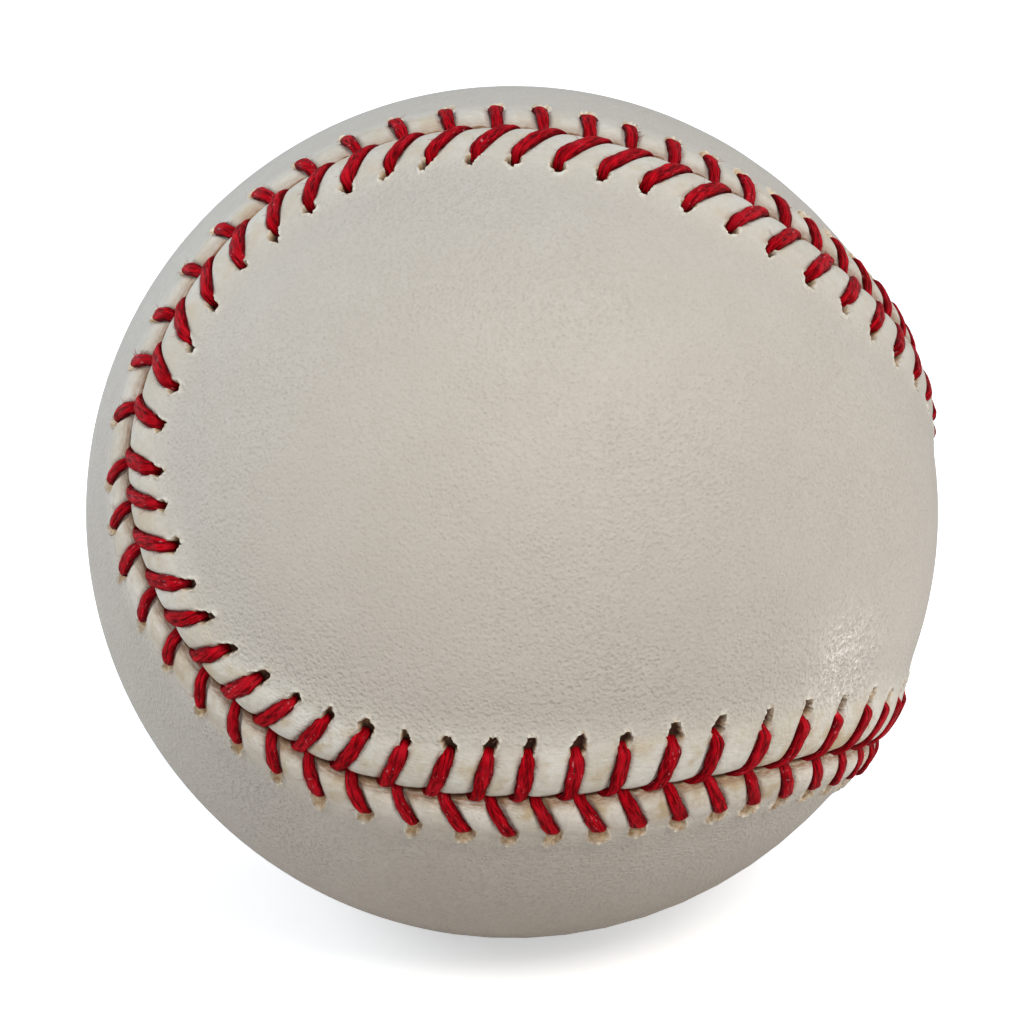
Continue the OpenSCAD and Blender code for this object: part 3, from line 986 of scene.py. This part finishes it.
def half_count_band(a, b, count):
    """Triangles from a closed row to one with half as many points."""
    i = np.arange(count // 2)
    j = (i + 1) % (count // 2)
    left = a + 2 * i
    right = a + 2 * j
    parts = ((left, left + 1, b + i), (left + 1, b + j, b + i), (left + 1, right, b + j))
    return np.concatenate([np.stack(part, 1) for part in parts])


def fan_to_line(a, line, count, side):
    """Triangles from the last closed row to the middle line, which both of its sides share."""
    station, reach = middle_station(count, side)
    spot = line + reach + station
    i = np.arange(count)
    j = (i + 1) % count
    apart = spot[i] != spot[j]
    inner = np.stack([a + i, spot[j], spot[i]], 1)[apart]
    return np.concatenate([np.stack([a + i, a + j, spot[j]], 1), inner])


class Rows:
    """Rows of points with their masks and their places along the seam and across it."""

    def __init__(self):
        self.points = []
        self.masks = {name: [] for name in LEATHER_MASKS}
        self.sewn = []
        self.total = 0

    def add(self, points, dist, along=0.0, **masks):
        zero = np.zeros(len(points))
        self.points.append(points)
        for name in LEATHER_MASKS:
            self.masks[name].append(zero + masks.get(name, 0.0))
        self.sewn.append(np.stack([zero + along, zero + dist, zero], -1))
        start = self.total
        self.total += len(points)
        return start, len(points)


def add_field(rows, chain, side, r, dist):
    """Rows from the last one of a chain to the panel's middle line."""
    _, count = chain[-1]
    way = unit(rows.points[-1])
    station, reach = middle_station(count, side)
    middle = middle_line(station, reach, side)
    for share in FILL_SHARES:
        between = unit(way * (1 - share) + middle * share)
        chain.append(rows.add(between * r, dist + share * FIELD_RUN))
    line = middle_line(np.arange(-reach, reach + 1), reach, side) * r
    return rows.add(line, dist + FIELD_RUN)[0]


def chain_faces(chain, line, side):
    """The faces between the rows of a chain, and from the last one to the middle line."""
    quads = []
    triangles = []
    for (a, count), (b, next_count) in zip(chain, chain[1:]):
        if next_count == count:
            quads.append(same_count_band(a, b, count))
        else:
            triangles.append(half_count_band(a, b, count))
    start, count = chain[-1]
    triangles.append(fan_to_line(start, line, count, side))
    return np.concatenate(quads), np.concatenate(triangles)


def cover_panel(name, side, finish):
    """One leather panel: cut edge, raised welt with its beds, pillows and holes, and open field."""
    k = np.repeat(np.arange(STITCHES), COLUMNS)
    offset = np.tile(COLUMN_OFFSETS, STITCHES)
    hole = HOLE_IN[side]
    rows = Rows()

    between = hole_between(k, offset, side)

    def band(dist):
        follow = smooth(dist, 0.6, hole - 0.9) * (1 - 0.75 * smooth(dist, hole + 1.2, hole + 3.4))
        dist = dist + (between - hole) * follow
        place = stitch_line(k, offset, dist, side)
        home = stitch_line(k, 0 * offset, dist, side)
        way = surface_way(place, side * dist)
        across = np.linalg.norm(way - surface_way(home, side * dist), axis=1)
        aside = across * BALL_R * np.sign(offset)
        return place, way, dist, leather_height(k, dist, aside, between, side)

    def thinned(chain, dist, r):
        _, count = chain[-1]
        step = 2 * len(k) // count
        place = stitch_line(k, offset, min(dist, hole), side)[::step]
        points = surface_way(place, side * dist + 0 * place) * r
        chain.append(rows.add(points, dist, seam_run(place)))

    outer = []
    place, _, _, (height, _) = band(EDGE_DIST)
    along = seam_run(place)
    ragged = 0.025 * np.sin(along * 2.3) + 0.018 * np.sin(along * 5.1 + 1)
    top = BALL_R + height
    for dist, drop in EDGE_ROWS:
        place = stitch_line(k, offset, dist, side)
        r = 0 * top + WELT_LOW_R if drop is None else np.maximum(top - drop, WELT_LOW_R + 0.1)
        deep = smooth(top - r, 0.15, 0.6)
        points = surface_way(place, side * (dist + ragged)) * r[:, None]
        # The cut edge gets painted shade, darker the deeper it lies in the crack
        cut = {"raw": smooth(dist, 0.27, 0.18), "pit_shade": 0.9 * deep, **EDGE_MASKS}
        outer.append(rows.add(points, dist, along, **cut))
    for dist in band_distances(side):
        place, way, dist, (height, masks) = band(dist)
        points = way * (BALL_R + height)[:, None]
        outer.append(rows.add(points, dist, seam_run(place), **masks))
    for extra in FIELD_STEPS:
        thinned(outer, hole + extra, BALL_R)
    line = add_field(rows, outer, side, BALL_R, hole + FIELD_STEPS[-1])
    quads, triangles = chain_faces(outer, line, side)

    under = [outer[0]]
    for dist in (*UNDER_DISTS, hole + 0.6):
        thinned(under, dist, WELT_LOW_R)
    _, count = under[-1]
    place = stitch_line(k, offset, hole, side)[:: len(k) // count]
    foot = surface_way(place, side * (FOOT_IN + 0.4) + 0 * place) * HIDE_R
    under.append(rows.add(foot, FOOT_IN))
    line = add_field(rows, under, side, HIDE_R, FOOT_IN)
    under_quads, under_triangles = chain_faces(under, line, side)

    quads = np.concatenate([quads, under_quads[:, ::-1]])
    triangles = np.concatenate([triangles, under_triangles[:, ::-1]])
    piece = build_mesh(name, np.concatenate(rows.points), quads, triangles, PANEL_SMOOTH)
    for key, values in rows.masks.items():
        add_attribute(piece, key, "FLOAT", np.concatenate(values))
    add_attribute(piece, "sewn", "FLOAT_VECTOR", np.concatenate(rows.sewn))
    piece.data.materials.append(finish)
    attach(piece, "root")
    return piece


def build_mesh(name, points, quads, triangles, smooth_angle):
    """A mesh from points in millimetres of the sewn cover, with its faces turned outwards."""
    volume = 0.0
    for faces in (quads[:, [0, 1, 2]], quads[:, [0, 2, 3]], triangles):
        a, b, c = (points[faces[:, i]] for i in range(3))
        volume += np.einsum("ij,ij->i", a, np.cross(b, c)).sum()
    if volume < 0:
        quads = quads[:, ::-1]
        triangles = triangles[:, ::-1]
    data = bpy.data.meshes.new(name)
    corners = np.concatenate([quads.ravel(), triangles.ravel()]).astype(np.int32)
    sizes = np.concatenate([np.full(len(quads), 4), np.full(len(triangles), 3)])
    starts = np.concatenate([[0], np.cumsum(sizes)[:-1]]).astype(np.int32)
    data.vertices.add(len(points))
    data.vertices.foreach_set("co", as_sewn(points).astype(np.float32).ravel())
    data.loops.add(len(corners))
    data.loops.foreach_set("vertex_index", corners)
    data.polygons.add(len(sizes))
    data.polygons.foreach_set("loop_start", starts)
    data.update(calc_edges=True)
    piece = bpy.data.objects.new(name, data)
    bpy.context.scene.collection.objects.link(piece)
    deselect_all()
    piece.select_set(True)
    bpy.context.view_layer.objects.active = piece
    bpy.ops.object.shade_smooth_by_angle(angle=math.radians(smooth_angle))
    return piece


def add_attribute(piece, name, kind, values):
    made = piece.data.attributes.new(name, kind, "POINT")
    key = "vector" if kind == "FLOAT_VECTOR" else "value"
    made.data.foreach_set(key, np.asarray(values, np.float32).ravel())


# Stitching threads
THREAD_WIDTH = {SIDE_A: 1.23, SIDE_B: 1.11}
THREAD_DEPTH = 0.70
# Where three places of a leg lie on its way from the seam to the hole, and its width there
LEG_RUNS = (0.73, 0.50, 0.28)
LEG_WIDE = {SIDE_A: (1.05, 1.08, 1.00), SIDE_B: (1.08, 1.04, 0.98)}
# How high the thread runs: under the leather, in a hole, at its mouth, and under the other edge
LOW_R = 36.28
IN_HOLE_R = 36.80
HOLE_MOUTH_R = 37.16
UNDER_EDGE_R = {SIDE_A: 36.85, SIDE_B: 36.75}
ON_BED = 0.32
# The thread's own form: points round it, plies, how they swell, how flat it lies and its twist
RING_COUNT = 22
PLIES = 4
PLY_LOW = 0.85
PLY_RISE = 0.17
FLAT_POWER = 0.85
TWIST = 0.27
# Rings between two places that show, and how far a leg is pulled along at the crack, in pitches
FINE_RINGS = 4
TUCK = 0.03


def leg_stations(k, side):
    """Places along one leg, from its hole over the leather to the seam and down under the other
    panel: share, distance, radius, how far its flat side faces out and away from the seam, width,
    depth, the number of rings to the next place, and the side of the panel that it lies on."""
    j = k % STITCHES
    hole = HOLE_AT[side][j]
    over = side > 0
    up = THREAD_UP[side][j]

    def at(dist, r, out, inward, wide, deep, rings, ahead=0.0):
        base = float(stitch_line(k, 0.0, max(dist, 0.0), side))
        share = base + ahead / STITCHES
        return [share, side * dist, r, out, inward, wide, deep, rings, side]

    def bed(run):
        return float(through(np.array(run), PILLOW_RUN, BED_HEIGHT))

    tuck = -TUCK if over else TUCK
    thin = 0.88
    end = 0.16 + strays(k, END_STRAYS)
    tail = strays(k, TAIL_STRAYS)
    if not over:
        thin = 1.16 * (1 - strays(k, NARROW_STRAYS) + strays(k, BROAD_STRAYS))
        end = 0.08
    places = [
        at(hole - end, IN_HOLE_R, 0.0, 1.0, 0.66, 0.8, 2),
        at(hole - end - 0.08, HOLE_MOUTH_R, 0.25, 1.0, thin - 0.08, 0.85, 3),
        at(hole - end - 0.36, BALL_R + 0.20 + 0.31, 0.9, 0.6, thin + 0.06, 0.95, 4),
    ]
    for run, wide in zip(LEG_RUNS, LEG_WIDE[side]):
        r = BALL_R + bed(run) + ON_BED + up
        places.append(at(run * hole, r, 1.0, 0.0, wide, 1.0, 4, tuck * (1 - run)))
    seam_r = BALL_R + bed(0.10)
    thinner = (0.90 - 0.9 * tail, 0.72 - 1.2 * tail)
    if over:
        places += [
            at(0.10 * hole, seam_r + ON_BED, 1.0, -0.1, thinner[0], 1.0, 4, tuck + 0.2 * tail),
            at(-0.12, BALL_R + 0.15, 0.8, -0.6, thinner[1], 0.85, 3, tuck + 0.05 + 0.7 * tail),
            at(-0.20, BALL_R - 0.10, 0.3, -1.0, 0.38, 0.6, 2, 0.13 + tail),
            at(-0.16, UNDER_EDGE_R[side], 0.0, -1.0, 0.5, 0.6, 1, 0.11 + tail),
        ]
    else:
        places += [
            at(0.12 * hole, seam_r + 0.16, 1.0, -0.1, 0.92, 0.95, 4, tuck),
            at(0.0, BALL_R - 0.12, 0.8, -0.6, 0.82, 0.85, 3, tuck),
            at(-0.16, BALL_R - 0.45, 0.2, -1.0, 0.75, 0.7, 1, 0.02),
            at(-0.16, UNDER_EDGE_R[side], 0.0, -1.0, 0.7, 0.7, 1, 0.0),
        ]
    return places


def hidden_stations(k, side):
    """Places under the other panel, between the seam and the next hole."""
    here = float(stitch_line(k, 0.0, 0.0, side))
    reach = HOLE_AT[-side][(k + 1) % STITCHES]
    there = float(stitch_line(k + 1, 0.0, reach, -side))
    return [
        [here + (there - here) * t, -side * reach * t, LOW_R, -1.0, 0.0, 0.8, 0.75, 1, -side]
        for t in (0.2, 0.85)
    ]


def thread_route(first_side):
    """All the places of one thread, as arrays of middles, flat directions, widths and depths."""
    middles, flats, wides, deeps, rings, legs = [], [], [], [], [], []
    own = first_side
    for k in range(STITCHES):
        for place in leg_stations(k, own) + hidden_stations(k, own):
            share, dist, r, out, inward, wide, deep, count, away = place
            share = np.array(share)
            way, _, across = seam_frame(share)
            a = float(seam_dist(share, dist)) / BALL_R
            radial = math.cos(a) * way - math.sin(a) * across
            toward_b = math.cos(a) * across + math.sin(a) * way
            middles.append(radial * r)
            flats.append(radial * out - toward_b * away * inward)
            wides.append(wide * THREAD_WIDTH[own] * (1 + THREAD_WIDE[own][k]))
            deeps.append(deep)
            rings.append(count)
            legs.append(k)
        own = -own
    return np.array(middles), np.array(flats), np.array(wides), np.array(deeps), rings, legs


def thread_surface(first_side):
    """Rings of points along one thread, flattened, of plies with a slow twist, and what goes with
    them: each ring's middle, directions and whether it shows, and each point's lay and the
    painted shade between its plies and along its edges."""
    middles, flats, wides, deeps, rings, legs = thread_route(first_side)
    index, share = [], []
    for i, count in enumerate(rings[:-1]):
        for step in range(count):
            index.append(i)
            share.append(step / count)
    i = np.array(index)
    t = np.array(share)[:, None]
    last = len(middles) - 1

    def curve(values):
        a, b, c, d = (values[np.clip(i + n, 0, last)] for n in (-1, 0, 1, 2))
        return b + 0.5 * t * (c - a + t * (2 * a - 5 * b + 4 * c - d + t * (3 * (b - c) + d - a)))

    middle = curve(middles)
    flat = flats[i] * (1 - t) + flats[np.clip(i + 1, 0, last)] * t
    wide = curve(wides[:, None])[:, 0] / 2
    deep = curve(deeps[:, None])[:, 0] * THREAD_DEPTH / 2
    forward = unit(np.gradient(middle, axis=0))
    flat = unit(flat - forward * np.sum(flat * forward, axis=1, keepdims=True))
    broad = np.cross(forward, flat)
    length = running_length(middle)
    leg = np.array(legs)[i]
    phase = np.array(THREAD_PHASE[first_side])[leg]
    twist = length * TWIST + phase * 0.4
    angle = -np.pi / 2 + 2 * np.pi * np.arange(RING_COUNT) / RING_COUNT
    around = angle[None, :] - twist[:, None]
    ply = np.abs(np.sin(PLIES / 2 * around))
    swell = PLY_LOW + PLY_RISE * np.sqrt(ply)
    cosine = np.cos(angle)[None, :]
    one_side = 0.06 * np.sin(length * 2.7 + phase) + 0.035 * np.sin(length * 6.1 + 2 * phase)
    other_side = 0.06 * np.sin(length * 2.3 - phase) + 0.035 * np.sin(length * 5.3 - 2 * phase)
    swell *= (
        1
        + one_side[:, None] * np.maximum(cosine, 0)
        + other_side[:, None] * np.maximum(-cosine, 0)
    )
    flatness = np.sign(np.sin(angle)) * np.abs(np.sin(angle)) ** FLAT_POWER
    points = (
        middle[:, None]
        + broad[:, None] * (np.cos(angle) * swell * wide[:, None])[..., None]
        + flat[:, None] * (flatness * swell * deep[:, None])[..., None]
    )
    lay = np.stack([around * 0.5, length[:, None] + 0 * around, leg[:, None] + 0 * around], -1)
    # Painted shade: dark between the plies, and along both edges of the flat thread as if it were
    # round
    ply_and_edge_shade = np.maximum(smooth(ply, 0.42, 0.05), 0.8 * smooth(np.abs(cosine), 0.72, 1.0))
    shown = np.array(rings)[i] == FINE_RINGS
    return points, middle, forward, flat, shown, lay, ply_and_edge_shade


def seam_thread(name, surface, finish):
    """One continuous thread, closed at its two ends under the cover."""
    points, *_, lay, ply_and_edge_shade = surface
    count = len(points)
    ring = np.arange(count - 1)[:, None] * RING_COUNT
    j = np.arange(RING_COUNT)[None, :]
    m = (j + 1) % RING_COUNT
    quads = np.stack([ring + j, ring + m, ring + RING_COUNT + m, ring + RING_COUNT + j], -1)
    quads = quads.reshape(-1, 4)
    j = np.arange(1, RING_COUNT - 1)
    end = (count - 1) * RING_COUNT
    first_cap = np.stack([0 * j, j + 1, j], 1)
    last_cap = np.stack([0 * j + end, end + j, end + j + 1], 1)
    caps = np.concatenate([first_cap, last_cap])
    piece = build_mesh(name, points.reshape(-1, 3), quads, caps, THREAD_SMOOTH)
    add_attribute(piece, "lay", "FLOAT_VECTOR", lay)
    add_attribute(piece, "ply_and_edge_shade", "FLOAT", ply_and_edge_shade)
    piece.data.materials.append(finish)
    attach(piece, "root")
    return piece


# Loose fibres and torn points
FUZZ_COUNT = 1700
FUZZ_R = 0.022
FUZZ_STEPS = (((0.08, 0, 0.28), 0.9), ((0.17, 0, 0.26), 0.85), ((0.26, 0, 0.2), 0.5))
LIP_R = 0.10
LIP_STEPS = (((0.04, 0.01, 0.3), 0.8), ((0.12, 0, 0.28), 0.65), ((0.2, 0, 0.22), 0.3))
LIP_LENGTH = {SIDE_A: (0.40, 0.80), SIDE_B: (0.10, 0.20)}
LIP_WIDTH = {SIDE_A: (0.35, 0.65), SIDE_B: (0.6, 1.0)}
LIP_REACH = {SIDE_A: (0.6, 0.9), SIDE_B: (0.9, 1.02)}
LIP_LIFT = {SIDE_A: (0.5, 1.0), SIDE_B: (0.1, 0.6)}
LIP_FOOT = {SIDE_A: -0.05, SIDE_B: 0.14}


def drawn_out_cone(sides, radius, steps):
    """A small cone drawn out by its tip, step by step, each step a shift and a taper. It stands on
    the origin and is modelled once. Its points and faces go into every copy, the faces sorted,
    because extruding leaves them in another order each run."""
    deselect_all()
    bpy.ops.mesh.primitive_cone_add(vertices=sides, radius1=radius, radius2=radius * 0.9, depth=0.1)
    shape = bpy.context.active_object
    bpy.ops.object.mode_set(mode="EDIT")
    bpy.ops.mesh.select_all(action="DESELECT")
    bpy.ops.object.mode_set(mode="OBJECT")
    for face in shape.data.polygons:
        face.select = face.center.z > 0.04
    bpy.ops.object.mode_set(mode="EDIT")
    tip = Vector((0, 0, 0.05))
    for shift, taper in steps:
        bpy.ops.mesh.extrude_region_move(TRANSFORM_OT_translate={"value": shift})
        tip = tip + Vector(shift)
        bpy.ops.transform.resize(value=(taper, taper, taper), center_override=tip)
    bpy.ops.object.mode_set(mode="OBJECT")
    points = np.array([tuple(vertex.co) for vertex in shape.data.vertices]) + (0, 0, 0.05)
    faces = sorted(tuple(face.vertices) for face in shape.data.polygons)
    quads = [corner for corner in faces if len(corner) == 4]
    triangles = []
    for corner in faces:
        if len(corner) != 4:
            triangles += [(corner[0], corner[n], corner[n + 1]) for n in range(1, len(corner) - 1)]
    spent = shape.data
    bpy.data.objects.remove(shape)
    bpy.data.meshes.remove(spent)
    return points, np.array(quads), np.array(triangles)


def strew(name, shape, feet, ways, leans, lengths, widths, finish):
    """Copies of a shape standing at feet along ways, bent towards leans."""
    points, quads, triangles = shape
    up = unit(ways)
    side = unit(leans - up * np.sum(leans * up, axis=1, keepdims=True))
    other = np.cross(up, side)
    placed = (
        feet[:, None]
        + side[:, None] * points[None, :, 0:1] * widths[:, None, None]
        + other[:, None] * points[None, :, 1:2] * widths[:, None, None]
        + up[:, None] * points[None, :, 2:3] * lengths[:, None, None]
    )
    first = (np.arange(len(feet)) * len(points))[:, None, None]
    quads = (quads[None] + first).reshape(-1, 4)
    triangles = (triangles[None] + first).reshape(-1, 3)
    piece = build_mesh(name, placed.reshape(-1, 3), quads, triangles, POINT_SMOOTH)
    piece.data.materials.append(finish)
    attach(piece, "root")
    return piece


def thread_fuzz(name, surface, finish):
    """Short red fibres standing off both edges of the stitches that show."""
    points, middle, forward, flat, shown, *_ = surface
    rings = draws.choice(np.flatnonzero(shown), FUZZ_COUNT)
    edge = draws.choice([0, RING_COUNT // 2], FUZZ_COUNT) + RING_COUNT // 4
    edge = (edge + draws.integers(-2, 3, FUZZ_COUNT)) % RING_COUNT
    feet = points[rings, edge]
    off = unit(feet - middle[rings])
    ways = off + forward[rings] * draws.uniform(-1.2, 1.2, FUZZ_COUNT)[:, None]
    ways = ways + flat[rings] * draws.uniform(-0.2, 0.35, FUZZ_COUNT)[:, None]
    leans = forward[rings] * draws.choice([-1.0, 1.0], FUZZ_COUNT)[:, None] + 0.3 * flat[rings]
    lengths = draws.uniform(0.12, 0.38, FUZZ_COUNT) * draws.choice([1.0, 1.0, 1.0, 1.8], FUZZ_COUNT)
    fibre = drawn_out_cone(3, FUZZ_R, FUZZ_STEPS)
    widths = np.ones(FUZZ_COUNT)
    return strew(name, fibre, feet - off * 0.03, ways, leans, lengths, widths, finish)


def torn_lips(name, side, finish):
    """Torn points of leather: a dark whisker standing out of each hole of panel A, and small pale
    ones round the far side of those of panel B."""
    k = np.arange(STITCHES)

    def draw(low, high):
        return draws.uniform(low, high, STITCHES)

    hole = HOLE_AT[side]
    angle = np.pi / 2 + draw(-0.5, 0.9)
    reach = draw(*LIP_REACH[side])
    aside = -np.sin(angle - np.pi / 2) * HOLE_HALF_WIDE[side] * (1 + HOLE_WIDE[side]) * reach
    past = HOLE_MIDDLE[side] + np.sin(angle) * HOLE_HALF_LONG[side] * (1 + HOLE_LONG[side]) * reach
    share = stitch_line(k, np.zeros(STITCHES), hole + past, side) + aside / (SEAM_LEN * BALL_R)
    _, along, across = seam_frame(share)
    way = surface_way(share, side * (hole + past))
    feet = way * (BALL_R + LIP_FOOT[side])
    away = -across * side
    ways = way * draw(*LIP_LIFT[side])[:, None] + away * draw(0.2, 1.0)[:, None] * side
    ways = ways - along * draw(-0.3, 0.9)[:, None]
    lengths = draw(*LIP_LENGTH[side])
    widths = draw(*LIP_WIDTH[side])
    point = drawn_out_cone(5, LIP_R, LIP_STEPS)
    return strew(name, point, feet, ways, away, lengths, widths, finish)


make_camera()
make_light()
make_floor()
dress_inner_pieces()
leather_a = cover_leather("leather_a", 0.0, (0.660, 0.632, 0.572, 1), (0.535, 0.490, 0.400, 1))
panel_a = cover_panel("leather_panel_a", SIDE_A, leather_a)
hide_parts("cover_panel_a")
leather_b = cover_leather("leather_b", 0.31, (0.690, 0.640, 0.565, 1), (0.550, 0.495, 0.400, 1))
panel_b = cover_panel("leather_panel_b", SIDE_B, leather_b)
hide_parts("cover_panel_b")
surface_a = thread_surface(SIDE_A)
surface_b = thread_surface(SIDE_B)
thread_a = seam_thread("waxed_thread_a", surface_a, waxed_thread("red_thread_a", 0.0))
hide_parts("seam_thread_a")
thread_b = seam_thread("waxed_thread_b", surface_b, waxed_thread("red_thread_b", 3.7))
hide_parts("seam_thread_b")
red_fibre = frayed_fibre("red_fibre", (0.42, 0.02, 0.03, 1), (0.22, 0.006, 0.012, 1))
thread_fuzz("thread_fuzz_a", surface_a, red_fibre)
thread_fuzz("thread_fuzz_b", surface_b, red_fibre)
dark_leather = frayed_fibre("dark_torn_leather", (0.16, 0.085, 0.045, 1), (0.05, 0.026, 0.015, 1))
pale_leather = frayed_fibre("pale_torn_leather", (0.66, 0.54, 0.39, 1), (0.40, 0.28, 0.17, 1))
torn_lips("torn_lips_a", SIDE_A, dark_leather)
torn_lips("torn_lips_b", SIDE_B, pale_leather)
